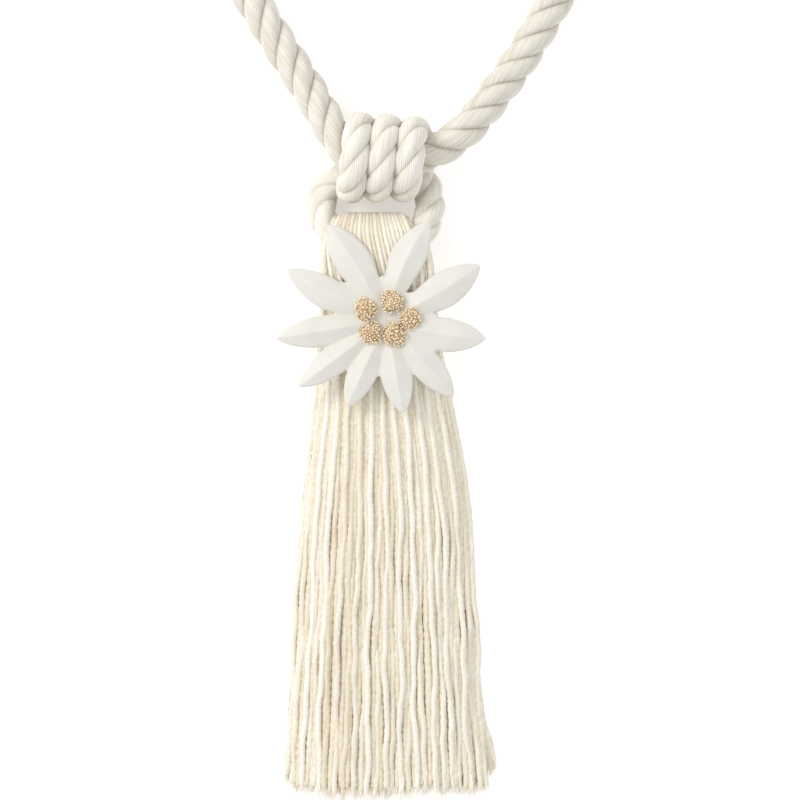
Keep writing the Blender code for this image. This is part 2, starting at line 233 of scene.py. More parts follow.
def bentFibre(sheet, bends, sides, thickness, taper):
    # one short fibre through three points, thinner toward its tip
    fibre = sheet.add("GeometryNodeCurveQuadraticBezier", None, 3, *bends)
    slim = 1.0 - sheet.add("GeometryNodeSplineParameter").out("Factor") * taper
    ring = sheet.add("GeometryNodeCurvePrimitiveCircle", {"mode": "RADIUS"}, sides,
                     Radius=thickness / 2)
    return sheet.add("GeometryNodeCurveToMesh", None, fibre, ring, Scale=slim, Fill_Caps=True)


def scatterFibres(sheet, points, fibre, way, sizes, seed):
    # a fibre on each point, turned the given way and a little shorter or longer
    turned = sheet.add("FunctionNodeAlignRotationToVector", {"axis": "Z"}, Vector=way)
    size = sheet.add("FunctionNodeRandomValue", {"data_type": "FLOAT"}, sizes["least"],
                     sizes["most"], Seed=seed)
    fibres = sheet.add("GeometryNodeInstanceOnPoints", None, points, Instance=fibre,
                       Rotation=turned, Scale=size)
    fibres = sheet.add("GeometryNodeRealizeInstances", None, fibres)
    # a fibre counts as all crest, so it gets none of the painted valley shade
    return nameValue(sheet, fibres, "FLOAT", "crest", 1.0)


def lineMesh(name, lines, marks=None):
    # chains of points and edges, with a number for each point of each line
    verts = [p for line in lines for p in line]
    edges = []
    start = 0
    for line in lines:
        edges += [(start + i, start + i + 1) for i in range(len(line) - 1)]
        start += len(line)
    mesh = bpy.data.meshes.new(name)
    mesh.from_pydata([tuple(v) for v in verts], edges, [])
    for label, values in (marks or {}).items():
        layer = mesh.attributes.new(label, "FLOAT", "POINT")
        layer.data.foreach_set("value", [v for line in values for v in line])
    return addObject(name, mesh)


def smoothRoute(points, step):
    # a curve through the points, then even steps along it
    fine = []
    cuts = 12
    last = len(points) - 1
    for i in range(last):
        a = points[max(i - 1, 0)]
        b = points[i]
        c = points[i + 1]
        d = points[min(i + 2, last)]
        for k in range(cuts):
            t = k / cuts
            fine.append(0.5 * (2 * b + (c - a) * t + (2 * a - 5 * b + 4 * c - d) * t * t
                               + (3 * b - a - 3 * c + d) * t * t * t))
    fine.append(points[-1])
    lengths = [0.0]
    for one, two in zip(fine, fine[1:]):
        lengths.append(lengths[-1] + (two - one).length)
    count = max(2, round(lengths[-1] / step))
    route = []
    place = 0
    for i in range(count + 1):
        wanted = lengths[-1] * i / count
        while place < len(fine) - 2 and lengths[place + 1] < wanted:
            place += 1
        share = (wanted - lengths[place]) / max(lengths[place + 1] - lengths[place], 1e-9)
        route.append(fine[place].lerp(fine[place + 1], share))
    return route


def routeLength(route):
    return sum((b - a).length for a, b in zip(route, route[1:]))


def rowAt(rows, y):
    # a row of sizes at any height, between the rows that are given from high to low
    if y >= rows[0][0]:
        return rows[0][1:]
    for upper, lower in zip(rows, rows[1:]):
        if y >= lower[0]:
            share = (upper[0] - y) / (upper[0] - lower[0])
            return tuple(a + (b - a) * share for a, b in zip(upper[1:], lower[1:]))
    return rows[-1][1:]


def ease(value, low, high):
    share = min(1.0, max(0.0, (value - low) / (high - low)))
    return share * share * (3 - 2 * share)


# Camera, straight above as in the photograph

view = {"millimetresAPixel": 0.48, "pixels": 800, "middle": (10.56, -62.4), "height": 1.75,
        "lookAt": 0.018, "sensor": 36.0}


def setCamera():
    camera = addObject("camera", bpy.data.cameras.new("camera"))
    camera.location = (view["middle"][0] * mm, view["middle"][1] * mm, view["height"])
    width = view["millimetresAPixel"] * mm * view["pixels"]
    camera.data.sensor_width = view["sensor"]
    camera.data.lens = view["sensor"] * (view["height"] - view["lookAt"]) / width
    scene.camera = camera
    print(f"camera: {width:.3f} m wide, {camera.data.lens:.0f} mm lens")


setCamera()


# Both ropes are laid from strands of fine yarn

def ropeTree(sizes):
    sheet, given = growthSheet("laid rope", sizes)
    path = sheet.add("GeometryNodeMeshToCurve", None, given)
    path = nameValue(sheet, path, "FLOAT_VECTOR", "spine", sheet.add("GeometryNodeInputPosition"))
    path = nameValue(sheet, path, "FLOAT_VECTOR", "axis", sheet.add("GeometryNodeInputTangent"))
    length = sheet.add("GeometryNodeSplineParameter").out("Length")
    path = nameValue(sheet, path, "FLOAT", "along", length)
    copies = sheet.add("GeometryNodeDuplicateElements", {"domain": "SPLINE"}, path,
                       Amount=given.out("Strands"))
    number = copies.out("Duplicate Index")
    along = readValue(sheet, "FLOAT", "along")
    turn = (along / given.out("Lay") + number / given.out("Strands")) * math.tau
    tangent = sheet.add("GeometryNodeInputTangent")
    normal = sheet.add("GeometryNodeInputNormal")
    side = sheet.vector("CROSS_PRODUCT", tangent, normal)
    reach = given.out("Strand Centre")
    out = sheet.vector("SCALE", normal, Scale=turn.maths("COSINE", turn) * reach)
    over = sheet.vector("SCALE", side, Scale=turn.maths("SINE", turn) * reach)
    strands = nameValue(sheet, copies, "FLOAT", "strand", number)
    strands = sheet.add("GeometryNodeSetPosition", None, strands,
                        Offset=sheet.vector("ADD", out, over))
    strands = nameValue(sheet, strands, "FLOAT_VECTOR", "heart",
                        sheet.add("GeometryNodeInputPosition"))
    untwist = readValue(sheet, "FLOAT", "along") * given.out("Yarn Twist")
    strands = sheet.add("GeometryNodeSetCurveTilt", None, strands, Tilt=untwist)
    ring = flutedRing(sheet, given.out("Yarns") * 2, given.out("Strand Radius"),
                      given.out("Yarns"), given.out("Yarn Depth"))
    rope = sheet.add("GeometryNodeCurveToMesh", None, strands, ring, Fill_Caps=True)
    place = sheet.add("GeometryNodeInputPosition")
    spine = readValue(sheet, "FLOAT_VECTOR", "spine")
    heart = readValue(sheet, "FLOAT_VECTOR", "heart")
    outward = sheet.vector("NORMALIZE", sheet.vector("SUBTRACT", heart, spine))
    sideways = sheet.vector("CROSS_PRODUCT", readValue(sheet, "FLOAT_VECTOR", "axis"), outward)
    aside = sheet.vector("DOT_PRODUCT", sheet.vector("SUBTRACT", place, heart),
                         sideways).out("Value")
    wider = sheet.vector("SCALE", sideways, Scale=aside * (given.out("Strand Spread") - 1))
    rope = sheet.add("GeometryNodeSetPosition", None, rope, Offset=wider)
    # how far each point lies from the rope's middle; the paint puts painted shade in the grooves by
    # it, and the fuzz grows on the crests by it
    away = sheet.vector("DISTANCE", place, spine).out("Value") / given.out("Rope Radius")
    rope = nameValue(sheet, rope, "FLOAT", "reach", away)
    rope = nameLay(sheet, rope, readValue(sheet, "FLOAT", "strand"))
    rope = stayAbove(sheet, sheet.add("GeometryNodeSetShadeSmooth", None, rope))
    finishGrowth(sheet, rope, given.out("Material"))
    return sheet.tree


# shared by all cotton paints; the groove curve shapes the painted shade in the grooves
cotton = {"patchContrast": 0.8, "grooveCurve": 1.6, "relief": 0.4, "reliefDepth": 0.0004,
          "roughness": 0.85, "sheen": 0.25, "sheenRoughness": 0.5}


def cottonPaint(name, look):
    # colour and relief follow the yarns, by the place that each point has on its yarn; the valleys
    # between yarns and the grooves between strands get painted shade
    material, sheet = paintSheet(name)
    lay = sheet.add("ShaderNodeAttribute", {"attribute_name": "lay"}).out("Vector")
    stretch = sheet.vector("MULTIPLY", lay, (1 / look["fibreWidth"], 1 / look["fibreWidth"],
                                             1 / look["fibreLength"]))
    fibre = sheet.add("ShaderNodeTexNoise", None, stretch, Scale=1.0, Detail=3.0, Roughness=0.6)
    coarse = sheet.vector("MULTIPLY", lay, (1 / look["streakWidth"], 1 / look["streakWidth"],
                                            1 / look["streakLength"]))
    streak = sheet.add("ShaderNodeTexNoise", None, coarse, Scale=1.0, Detail=2.0, Roughness=0.5)
    patch = sheet.add("ShaderNodeTexNoise", None, lay, Scale=1 / look["patch"], Detail=2.0)
    reach = sheet.add("ShaderNodeAttribute", {"attribute_name": "reach"}).out("Fac")
    crest = sheet.add("ShaderNodeAttribute", {"attribute_name": "crest"}).out("Fac")
    shade = sheet.add("ShaderNodeAttribute", {"attribute_name": "shade"}).out("Fac")
    # each yarn's own tone, and painted shade on inner, odd and folded yarns, push the colour toward
    # the warm one
    tone = clampShare(sheet, (fibre - 0.5) * look["fibreContrast"]
                      + (patch - 0.5) * cotton["patchContrast"]
                      + (streak - 0.5) * look["streakContrast"] + look["warmth"] + shade)
    colour = mixColour(sheet, tone, look["light"], look["warm"])
    # painted shade in the valleys between the yarns, by each point's crest
    colour = mixColour(sheet, (1 - crest) * look["valleyPaintedShade"], colour, look["paintedShadeColour"])
    # painted shade toward the grooves between the strands, and on the tassel's inner yarns, where the
    # reach is least
    paintedGrooveShade = clampShare(sheet, (look["grooveAt"] - reach) / look["grooveSoft"])
    paintedGrooveShade = paintedGrooveShade ** cotton["grooveCurve"] * look["grooveMost"]
    colour = mixColour(sheet, paintedGrooveShade, colour, look["paintedShadeColour"])
    bump = sheet.add("ShaderNodeBump", None, Strength=cotton["relief"],
                     Distance=cotton["reliefDepth"], Height=fibre)
    surface = sheet.add("ShaderNodeBsdfPrincipled", None, Base_Color=colour,
                        Roughness=cotton["roughness"], Normal=bump, Sheen_Weight=cotton["sheen"],
                        Sheen_Roughness=cotton["sheenRoughness"])
    sheet.add("ShaderNodeOutputMaterial", None, surface)
    return material


# grooveAt, grooveSoft and grooveMost set where the painted groove shade starts, how softly and how
# dark; valley is the painted shade between yarns
ropeLook = {"fibreWidth": 0.0003, "fibreLength": 0.006, "patch": 0.012, "fibreContrast": 1.0,
            "streakWidth": 0.0006, "streakLength": 0.011, "streakContrast": 2.3,
            "light": linear(249, 246, 237), "warm": linear(221, 213, 193), "warmth": 0.33,
            "paintedShadeColour": linear(140, 110, 72), "grooveAt": 0.9, "grooveSoft": 0.28,
            "grooveMost": 0.95, "valleyPaintedShade": 0.26}

ropePaint = cottonPaint("rope cotton", ropeLook)
# the wrapping rope's cotton: a little less warm, with weaker painted shade in its grooves
wrapPaint = cottonPaint("wrapping cotton", {**ropeLook, "warmth": 0.2, "grooveMost": 0.6})

# The curtain rope's loop, whose ends meet inside the knot

loop = {"diameter": 17.6, "plump": 0.0, "strands": 3, "lay": 45.0, "strandRadius": 4.55,
        "spread": 1.12, "yarns": 30, "yarnDepth": 0.09, "yarnTwist": -0.185, "step": 1.4,
        "length": 722.0}
bail = {"diameter": 12.3, "plump": 1.2, "strands": 3, "lay": 37.0, "strandRadius": 3.92,
        "spread": 1.18, "yarns": 24, "yarnDepth": 0.08, "yarnTwist": -0.17, "step": 1.05}
knot = {"y": 54.0, "play": 0.9, "pitch": 12.9, "lean": 1.2, "firstX": 17.8, "sink": 0.9,
        "drop": 1.9, "dropOver": 540.0, "from": -78.0, "to": 898.0, "step": 30.0,
        "clearance": 0.3}
knot["radius"] = (loop["diameter"] + bail["diameter"]) / 2 + knot["play"]
knot["z"] = knot["radius"] + bail["diameter"] / 2 + knot["clearance"]

# x and y in the plan, and the height from the knot's middle
loopRoute = [(3.5, 54.0, 0.0), (14.0, 54.0, 0.0), (25.4, 56.2, 0.0), (38.4, 64.0, -1.6),
             (48.6, 74.4, -4.6), (58.8, 88.0, -8.2), (70.6, 105.0, -11.4),
             (84.6, 129.2, -12.8), (98.8, 156.0, -13.0), (109.5, 184.0, -13.0),
             (114.0, 213.0, -13.0), (110.5, 242.0, -13.0), (98.5, 270.0, -13.0),
             (76.0, 293.0, -13.0), (46.0, 308.0, -13.0), (13.0, 312.5, -13.0),
             (-21.0, 305.5, -13.0), (-52.0, 288.0, -13.0), (-75.5, 262.0, -13.0),
             (-88.5, 231.0, -13.0), (-91.0, 199.0, -13.0), (-83.5, 169.0, -13.0),
             (-70.5, 146.5, -13.0), (-60.5, 129.8, -12.8), (-45.8, 106.2, -11.4),
             (-32.2, 84.8, -7.8), (-24.0, 70.6, -4.2), (-17.4, 60.2, -1.4),
             (-12.0, 54.9, -0.2), (-4.6, 54.0, 0.0), (2.9, 54.0, 0.0)]


def ropeSizes(rope, paint):
    radius = rope["diameter"] / 2 + rope["plump"]
    return {"Strands": rope["strands"], "Lay": rope["lay"] * mm, "Rope Radius": radius * mm,
            "Strand Centre": (radius - rope["strandRadius"]) * mm,
            "Strand Radius": rope["strandRadius"] * mm, "Strand Spread": rope["spread"],
            "Yarns": rope["yarns"], "Yarn Depth": rope["yarnDepth"],
            "Yarn Twist": rope["yarnTwist"] / mm, "Material": paint}


ropeGrowth = ropeTree(ropeSizes(loop, ropePaint))


def makeLoop():
    points = [Vector((x, y, knot["z"] + z)) * mm for x, y, z in loopRoute]
    path = smoothRoute(points, loop["step"] * mm)
    rope = grow("curtain_rope", lineMesh("loop path", [path]), ropeGrowth,
                ropeSizes(loop, ropePaint))
    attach(rope, "root")
    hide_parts("loop_rope")
    return rope


# The thinner rope: down both sides of the tassel's head, and wrapped round the loop's ends

bailRight = [(0.3, 13.0, 17.0), (9.0, 13.2, 17.2), (16.5, 15.0, 17.6), (22.0, 20.0, 17.6),
             (24.6, 27.0, 15.2), (25.0, 33.5, 11.4), (23.8, 39.5, 8.2), (21.2, 44.6, 6.9),
             (19.9, 50.0, 6.6)]
bailLeft = [(-0.3, 13.0, 17.0), (-9.0, 13.2, 16.8), (-17.2, 15.0, 15.8), (-23.4, 20.0, 13.2),
            (-26.6, 26.2, 10.2), (-27.4, 32.2, 7.6), (-25.9, 37.8, 6.7), (-22.6, 42.0, 6.5),
            (-18.6, 45.0, 6.5), (-14.8, 45.2, 7.0), (-12.8, 42.8, 9.6), (-12.9, 39.6, 14.2)]


def wrapPoint(degrees):
    # the wraps lie closer than the solid's, and the first ones lower at the top than the last
    turn = math.radians(degrees)
    lean = knot["lean"] * (1 - math.cos(turn)) / 2
    radius = knot["radius"] - knot["sink"]
    drop = (knot["drop"] * max(0.0, 1 - abs(degrees) / knot["dropOver"])
            * max(0.0, math.cos(turn)))
    return Vector((knot["firstX"] - knot["pitch"] * degrees / 360 + lean,
                   knot["y"] + radius * math.cos(turn) - drop,
                   knot["z"] + radius * math.sin(turn)))


def makeBail():
    steps = round((knot["to"] - knot["from"]) / knot["step"])
    wraps = [wrapPoint(knot["from"] + (knot["to"] - knot["from"]) * i / steps)
             for i in range(steps + 1)]
    points = [Vector(p) for p in bailRight] + wraps + [Vector(p) for p in reversed(bailLeft)]
    path = smoothRoute([p * mm for p in points], bail["step"] * mm)
    print(f"wrapping rope is {routeLength(path):.3f} m")
    rope = grow("wrapping_rope", lineMesh("wrap path", [path]), ropeGrowth,
                ropeSizes(bail, wrapPaint))
    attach(rope, "root")
    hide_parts("bail_rope")
    return rope


loopRope = makeLoop()
bailRope = makeBail()


# The tassel: soft yarns folded over the thinner rope, whose cut ends fray
# fold is the head over the rope's bar, and skirt is the legs that hang from it

tassel = {"columns": 25, "yarnRadius": 1.6, "plies": 5, "plyDepth": 0.12, "twistPitch": 16.0,
          "depths": (0.0, 2.0, 4.2, 7.6), "evenDepths": (0.7, 0.95), "tuck": 2.0,
          "foldedLayers": 3, "swell": 0.08, "swellRate": 3, "leastTwist": 8, "seed": 11}
fold = {"y": 14.0, "z": 17.0, "reach": 13.8, "leastReach": 4.0, "shift": 2.2, "inset": 1.5,
        "drawFrom": -8.0, "drawOver": 34.0, "foldedTop": 2.0, "singleTop": 7.0,
        "leftTuck": (4.5, 2.3), "rightTuck": (1.5, 3.5), "slim": 0.26, "slimOver": (-22.0, 6.0),
        "slimEdge": 0.82, "girth": 0.16, "girthOver": (-70.0, -10.0),
        "turns": (80, 62, 45, 30, 15, 0, -15, -30, -45, -62, -80)}
skirt = {"endY": -251.5, "unevenEnd": 3.5, "innerShorter": 1.2, "endGirth": 0.84, "endTaper": 7.0,
         "step": 6.0, "sway": 0.85, "innerSway": 0.35, "headSway": 0.2, "sideSway": 1.1,
         "depthSway": 0.8, "wander": 1.0, "innerWander": 0.25, "edgeCalm": 0.8, "drawIn": 1.3,
         "sideFall": 0.4, "tuckLoss": 0.55, "flowerRoom": 0.1, "leaning": 3, "lean": (0.6, 2.0),
         "leanCurve": 1.5, "locked": 2, "lockLayers": 2, "lock": 7.0, "lockShorter": 8.0}
spans = {"loose": (-5.0, 190.0), "fall": (0.0, 40.0), "tuck": (20.0, 170.0),
         "lean": (185.0, 250.0), "flower": 75.0}  # how far down each change runs, in millimetres
# the inner layers and odd columns are painted warmer and darker, and the fold under the knot too:
# painted shade and painted shadow
yarnToneAndPaintedShade = {"spread": 0.14, "inner": 0.4, "tucked": 0.26, "fold": 0.08, "knotShadowOver": (0.0, 20.0),
          "innerShadeReach": 0.2}  # spread is tone at random; the rest is painted shade
shells = [("tassel_outer_yarns", 10, 2.3, 1.0), ("tassel_second_yarns", 10, 4.0, 1.4),
          ("tassel_third_yarns", 6, 6.0, 1.48), ("tassel_fourth_yarns", 6, 8.0, 1.35),
          ("tassel_core_yarns", 6, 8.0, 1.35)]  # name, sides, step in millimetres and girth
headRows = [(27.8, -18.6, 16.0), (24.0, -21.0, 18.6), (20.2, -23.4, 20.6), (16.0, -25.4, 22.4),
            (11.0, -26.8, 24.4), (5.0, -27.2, 26.0), (-2.0, -27.2, 27.0), (-14.4, -27.2, 27.6),
            (-30.0, -28.2, 28.8), (-62.0, -31.2, 35.4), (-82.0, -33.4, 39.6),
            (-101.0, -35.6, 43.0), (-120.0, -38.0, 46.0), (-158.0, -40.8, 48.0),
            (-197.0, -42.8, 49.8), (-216.0, -44.2, 50.6),
            (-252.0, -46.6, 53.4)]  # height, and the tassel's left and right edge
thickRows = [(11.0, 34.0), (-2.0, 33.8), (-14.4, 33.0), (-30.0, 31.4), (-62.0, 29.0),
             (-96.0, 25.8), (-130.0, 23.0), (-170.0, 20.6), (-212.0, 18.4),
             (-252.0, 16.8)]  # height, and how thick the tassel is
endRows = [(25.0, 3.2), (24.0, 3.0), (22.5, 0.4), (12.5, 0.4), (11.0, -1.4), (5.5, -1.4),
           (4.5, 1.2), (3.0, 0.5), (1.0, 1.5), (0.0, 4.5)]  # column, and how much shorter it is
swayWaves = [(0.05, 0.09, 0.6), (0.12, 0.2, 0.34), (0.28, 0.42, 0.2)]  # slowest, fastest and size


def columnShare(column, y):
    # across the skirt the columns stand evenly; at the fold they draw in and lean
    last = tassel["columns"] - 1
    low = min(1.0, column / last)
    drawn = (column - fold["inset"] - fold["shift"]) / (last - 2 * fold["inset"])
    inner = min(1.0, max(0.0, drawn))
    return low + (inner - low) * min(1.0, max(0.0, (y - fold["drawFrom"]) / fold["drawOver"]))


def columnX(column, y):
    left, right = rowAt(headRows, y)
    inset = tassel["yarnRadius"]
    return left + inset + (right - left - 2 * inset) * columnShare(column, y)


def outerness(column):
    # 0 in the middle of the tassel and 1 at its sides
    return min(1.0, abs(2 * column / (tassel["columns"] - 1) - 1))


def isTucked(column, shell):
    # every other yarn of the outer layer lies a little deeper
    return column % 2 == 1 and shell == 0


def depthShare(column, shell, half):
    # layers lie close under the front and back, and evenly at the sides
    even = shell / len(tassel["depths"])
    if shell == len(tassel["depths"]):
        return 1.0
    close = min(even, tassel["depths"][shell] / half)
    return close + (even - close) * ease(outerness(column), *tassel["evenDepths"])


def swayAt(rng):
    # a slow, uneven wave along one yarn
    waves = [(rng.uniform(slowest, fastest), rng.uniform(0, math.tau), size)
             for slowest, fastest, size in swayWaves]
    return lambda y: sum(size * math.sin(rate * y + start) for rate, start, size in waves)


def pressed(y, column, shell):
    # the outer yarns are pressed slim, side by side, at the fold, but for those at its two ends
    if shell:
        return 0.0
    return ease(y, *fold["slimOver"]) * (1 - ease(outerness(column), fold["slimEdge"], 1.0))


def legPoints(column, shell, front, rng, lean, top):
    # from the cut end up to the head
    outer = shell == 0
    swayX = swayAt(rng)
    swayZ = swayAt(rng)
    edge = outerness(column) ** 4
    wander = rng.gauss(0, 1) * skirt["wander"] * (1.0 if outer else skirt["innerWander"])
    wander *= 1 - skirt["edgeCalm"] * edge
    play = skirt["sway"] * (1.0 if outer else skirt["innerSway"])
    middle = (tassel["columns"] - 1) / 2
    aside = 0.0 if front and outer else math.copysign(skirt["drawIn"] * edge, middle - column)
    y = skirt["endY"] + rng.uniform(0, skirt["unevenEnd"])
    y += skirt["lockShorter"] if lean == skirt["lock"] else skirt["innerShorter"] * shell
    y += rowAt(endRows, column)[0]
    lowest = tassel["yarnRadius"] * (1 + tassel["swell"]) * (shells[shell][3] + fold["girth"])
    points = []
    while y < top:
        loose = ease(-y, *spans["loose"])
        thick = rowAt(thickRows, y)[0]
        high = thick * (1 - skirt["sideFall"] * edge * ease(-y, *spans["fall"]))
        slim = pressed(y, column, shell)
        radius = tassel["yarnRadius"] * (1 - fold["slim"] * slim)
        half = high / 2 - radius
        below = depthShare(column, shell, half) * half
        if isTucked(column, shell):
            below += tassel["tuck"] * (1 - skirt["tuckLoss"] * ease(-y, *spans["tuck"])) * (1 - slim)
        z = high - radius - below if front else radius + below
        z += swayZ(y) * play * (skirt["headSway"] + skirt["depthSway"] * loose)
        if -y < spans["flower"]:
            z = min(z, thick - radius + skirt["flowerRoom"])
        x = columnX(column, y) + swayX(y) * play * (skirt["headSway"] + skirt["sideSway"] * loose)
        x += (wander + aside) * loose + lean * ease(-y, *spans["lean"]) ** skirt["leanCurve"]
        points.append(Vector((x, y, max(lowest * (1 - fold["slim"] * slim), z))))
        y += skirt["step"]
    return points


def foldPoints(column, shell):
    # over the top of the head; the outermost yarns tuck in below the rope's legs
    slim = pressed(fold["y"], column, shell)
    depth = tassel["depths"][shell] + tassel["yarnRadius"] * (1 - fold["slim"] * slim)
    if isTucked(column, shell):
        depth += tassel["tuck"] * (1 - slim)
    last = tassel["columns"] - 1
    leftColumns, leftFall = fold["leftTuck"]
    rightColumns, rightFall = fold["rightTuck"]
    lower = max(0.0, leftColumns - column) * leftFall
    lower += max(0.0, column - (last - rightColumns)) * rightFall
    across = max(fold["leastReach"], fold["reach"] - depth - lower)
    half = fold["z"] - depth
    points = []
    for degrees in fold["turns"]:
        turn = math.radians(degrees)
        y = fold["y"] + across * math.cos(turn)
        z = fold["z"] + half * math.sin(turn)
        points.append(Vector((columnX(column, y), y, z)))
    return points


def girthAt(y, end, column, shell):
    # a cut end thins over its last few millimetres; the yarns that lead the fold are fuller there
    full = ease(y, end, end + skirt["endTaper"])
    girth = skirt["endGirth"] + (1 - skirt["endGirth"]) * full
    if column % 2 == 0 and shell == 0:
        girth += fold["girth"] * ease(y, *fold["girthOver"])
    return girth * (1 - fold["slim"] * pressed(y, column, shell))


def yarnPaths(column, shell, rng):
    # the outer layers run up the front, over the fold and down the back; the rest are single legs
    last = tassel["columns"] - 1
    lean = rng.uniform(*skirt["lean"]) if column > last - skirt["leaning"] else 0.0
    isLock = column > last - skirt["locked"] and shell < skirt["lockLayers"]
    folded = shell < tassel["foldedLayers"]
    top = fold["y"] - (fold["foldedTop"] if folded else fold["singleTop"])
    front = legPoints(column, shell, True, rng, lean, top)
    if shell == len(tassel["depths"]):
        return [front]
    back = legPoints(column, shell, False, rng, skirt["lock"] if isLock else lean, top)
    if not folded:
        return [front, back]
    return [front + foldPoints(column, shell) + list(reversed(back))]


def yarnTree(sizes):
    sheet, given = growthSheet("spun yarn", sizes)
    path = sheet.add("GeometryNodeMeshToCurve", None, given)
    length = sheet.add("GeometryNodeSplineParameter").out("Length")
    path = nameValue(sheet, path, "FLOAT", "along", length)
    twist = length / given.out("Twist Pitch") * math.tau + readValue(sheet, "FLOAT", "phase")
    path = sheet.add("GeometryNodeSetCurveTilt", None, path, Tilt=twist)
    ring = flutedRing(sheet, given.out("Sides"), given.out("Yarn Radius"), given.out("Plies"),
                      given.out("Ply Depth"))
    yarn = sheet.add("GeometryNodeCurveToMesh", None, path, ring, Fill_Caps=True,
                     Scale=readValue(sheet, "FLOAT", "girth"))
    yarn = nameLay(sheet, yarn, readValue(sheet, "FLOAT", "phase"))
    yarn = stayAbove(sheet, sheet.add("GeometryNodeSetShadeSmooth", None, yarn))
    finishGrowth(sheet, yarn, given.out("Material"))
    return sheet.tree


# the groove and valley values paint shade between the yarns and on the inner layers
yarnLook = {"fibreWidth": 0.0004, "fibreLength": 0.004, "patch": 0.02, "fibreContrast": 0.9,
            "streakWidth": 0.0012, "streakLength": 0.03, "streakContrast": 0.6,
            "light": linear(249, 246, 235), "warm": linear(226, 210, 178), "warmth": 0.16,
            "paintedShadeColour": linear(212, 188, 148), "grooveAt": 0.5, "grooveSoft": 0.45,
            "grooveMost": 0.4, "valleyPaintedShade": 0.2}
yarnPaint = cottonPaint("tassel yarn", yarnLook)


def yarnSizes(sides, step):
    # long steps need a slow twist, or the yarn pinches between its rings
    pitch = max(tassel["twistPitch"], tassel["leastTwist"] * step)
    return {"Sides": sides, "Yarn Radius": tassel["yarnRadius"] * mm, "Plies": tassel["plies"],
            "Ply Depth": tassel["plyDepth"], "Twist Pitch": pitch * mm, "Material": yarnPaint}


yarnGrowth = yarnTree(yarnSizes(shells[0][1], shells[0][2]))


def makeYarns():
    rng = random.Random(tassel["seed"])
    ends = []
    for shell, (name, sides, step, girth) in enumerate(shells):
        marks = {"girth": [], "phase": [], "shade": [], "reach": []}
        lines = []
        frayShare = 1.0 if shell < fray["fullLayers"] else fray["innerShare"]
        for number in range(tassel["columns"]):
            column = number + (0.5 if shell % 2 else 0.0)
            for points in yarnPaths(column, shell, rng):
                route = smoothRoute([p * mm for p in points], step * mm)
                phase = rng.uniform(0, math.tau)
                # each yarn's tone differs at random; the inner layers and the odd columns get painted
                # shade, as they lie deeper in the tassel
                shade = rng.gauss(0, yarnToneAndPaintedShade["spread"]) + (yarnToneAndPaintedShade["inner"] if shell else 0.0)
                shade += yarnToneAndPaintedShade["tucked"] if column % 2 == 1 else 0.0
                swell = swayAt(rng)
                lines.append(route)
                heights = [p.y / mm for p in route]
                marks["girth"].append([(1 + tassel["swell"] * swell(y * tassel["swellRate"])) * girth
                                       * girthAt(y, min(heights), column, shell) for y in heights])
                marks["phase"].append([phase] * len(route))
                # warmer toward the top of the head: painted shadow of the knot
                marks["shade"].append([shade + yarnToneAndPaintedShade["fold"] * ease(y, *yarnToneAndPaintedShade["knotShadowOver"])
                                       for y in heights])
                # the inner layers are given less reach, so the groove shade darkens them: painted
                # shade
                marks["reach"].append([1 - yarnToneAndPaintedShade["innerShadeReach"] * shell] * len(route))
                ends.append((route[0], route[0] - route[1], shade, frayShare))
                if shell < tassel["foldedLayers"]:
                    ends.append((route[-1], route[-1] - route[-2], shade, frayShare))
        yarns = grow(name, lineMesh(name + " paths", lines, marks), yarnGrowth,
                     yarnSizes(sides, step))
        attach(yarns, "root")
        if shell == 0:
            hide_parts("tassel")
            outer = yarns
    return outer, ends


# Each cut end opens into wisps

fray = {"fibres": 13.0, "length": 3.6, "root": 2.0, "thickness": 0.95, "spread": 0.15,
        "looseSpread": 0.8, "rootSpread": 0.65, "bend": 0.5, "bendAt": 0.55, "taper": 0.75,
        "sides": 5, "least": 0.45, "most": 1.1, "fullLayers": 2, "innerShare": 0.5, "seed": 5}
# the frays and fuzz get the yarn's paint made lighter: painted light, for the light that passes
# through thin loose fibres
paintedLightFibrePaint = cottonPaint("loose cotton fibres", {**yarnLook, "light": linear(253, 250, 240),
                                                "warm": linear(243, 232, 210)})


def frayTree(sizes):
    sheet, given = growthSheet("frayed ends", sizes)
    points = sheet.add("GeometryNodeMeshToPoints", {"mode": "VERTICES"}, given)
    points = sheet.add("GeometryNodeDuplicateElements", {"domain": "POINT"}, points,
                       Amount=given.out("Fibres") * readValue(sheet, "FLOAT", "share"))
    seed = given.out("Seed")
    loose = randomWay(sheet, seed)
    start = sheet.vector("SCALE", loose, Scale=given.out("Yarn Radius") * fray["rootSpread"])
    points = sheet.add("GeometryNodeSetPosition", None, points, Offset=start)
    lean = sheet.vector("ADD", sheet.vector("SCALE", randomWay(sheet, seed + 1),
                                            Scale=given.out("Spread")),
                        sheet.vector("SCALE", loose,
                                     Scale=given.out("Spread") * fray["looseSpread"]))
    way = sheet.vector("ADD", readValue(sheet, "FLOAT_VECTOR", "aim"), lean)
    length = given.out("Length")
    root = sheet.add("ShaderNodeCombineXYZ", None, 0.0, 0.0, -given.out("Root"))
    bend = sheet.add("ShaderNodeCombineXYZ", None, given.out("Bend"), 0.0, length * fray["bendAt"])
    tip = sheet.add("ShaderNodeCombineXYZ", None, 0.0, 0.0, length)
    fibre = bentFibre(sheet, (root, bend, tip), fray["sides"], given.out("Thickness"),
                      fray["taper"])
    fibre = sheet.add("GeometryNodeSetShadeSmooth", None, fibre)
    fibres = scatterFibres(sheet, points, fibre, way, fray, seed + 2)
    # and full reach, so none of the painted groove shade
    fibres = nameValue(sheet, fibres, "FLOAT", "reach", 1.0)
    fibres = stayAbove(sheet, fibres)
    finishGrowth(sheet, fibres, given.out("Material"))
    return sheet.tree


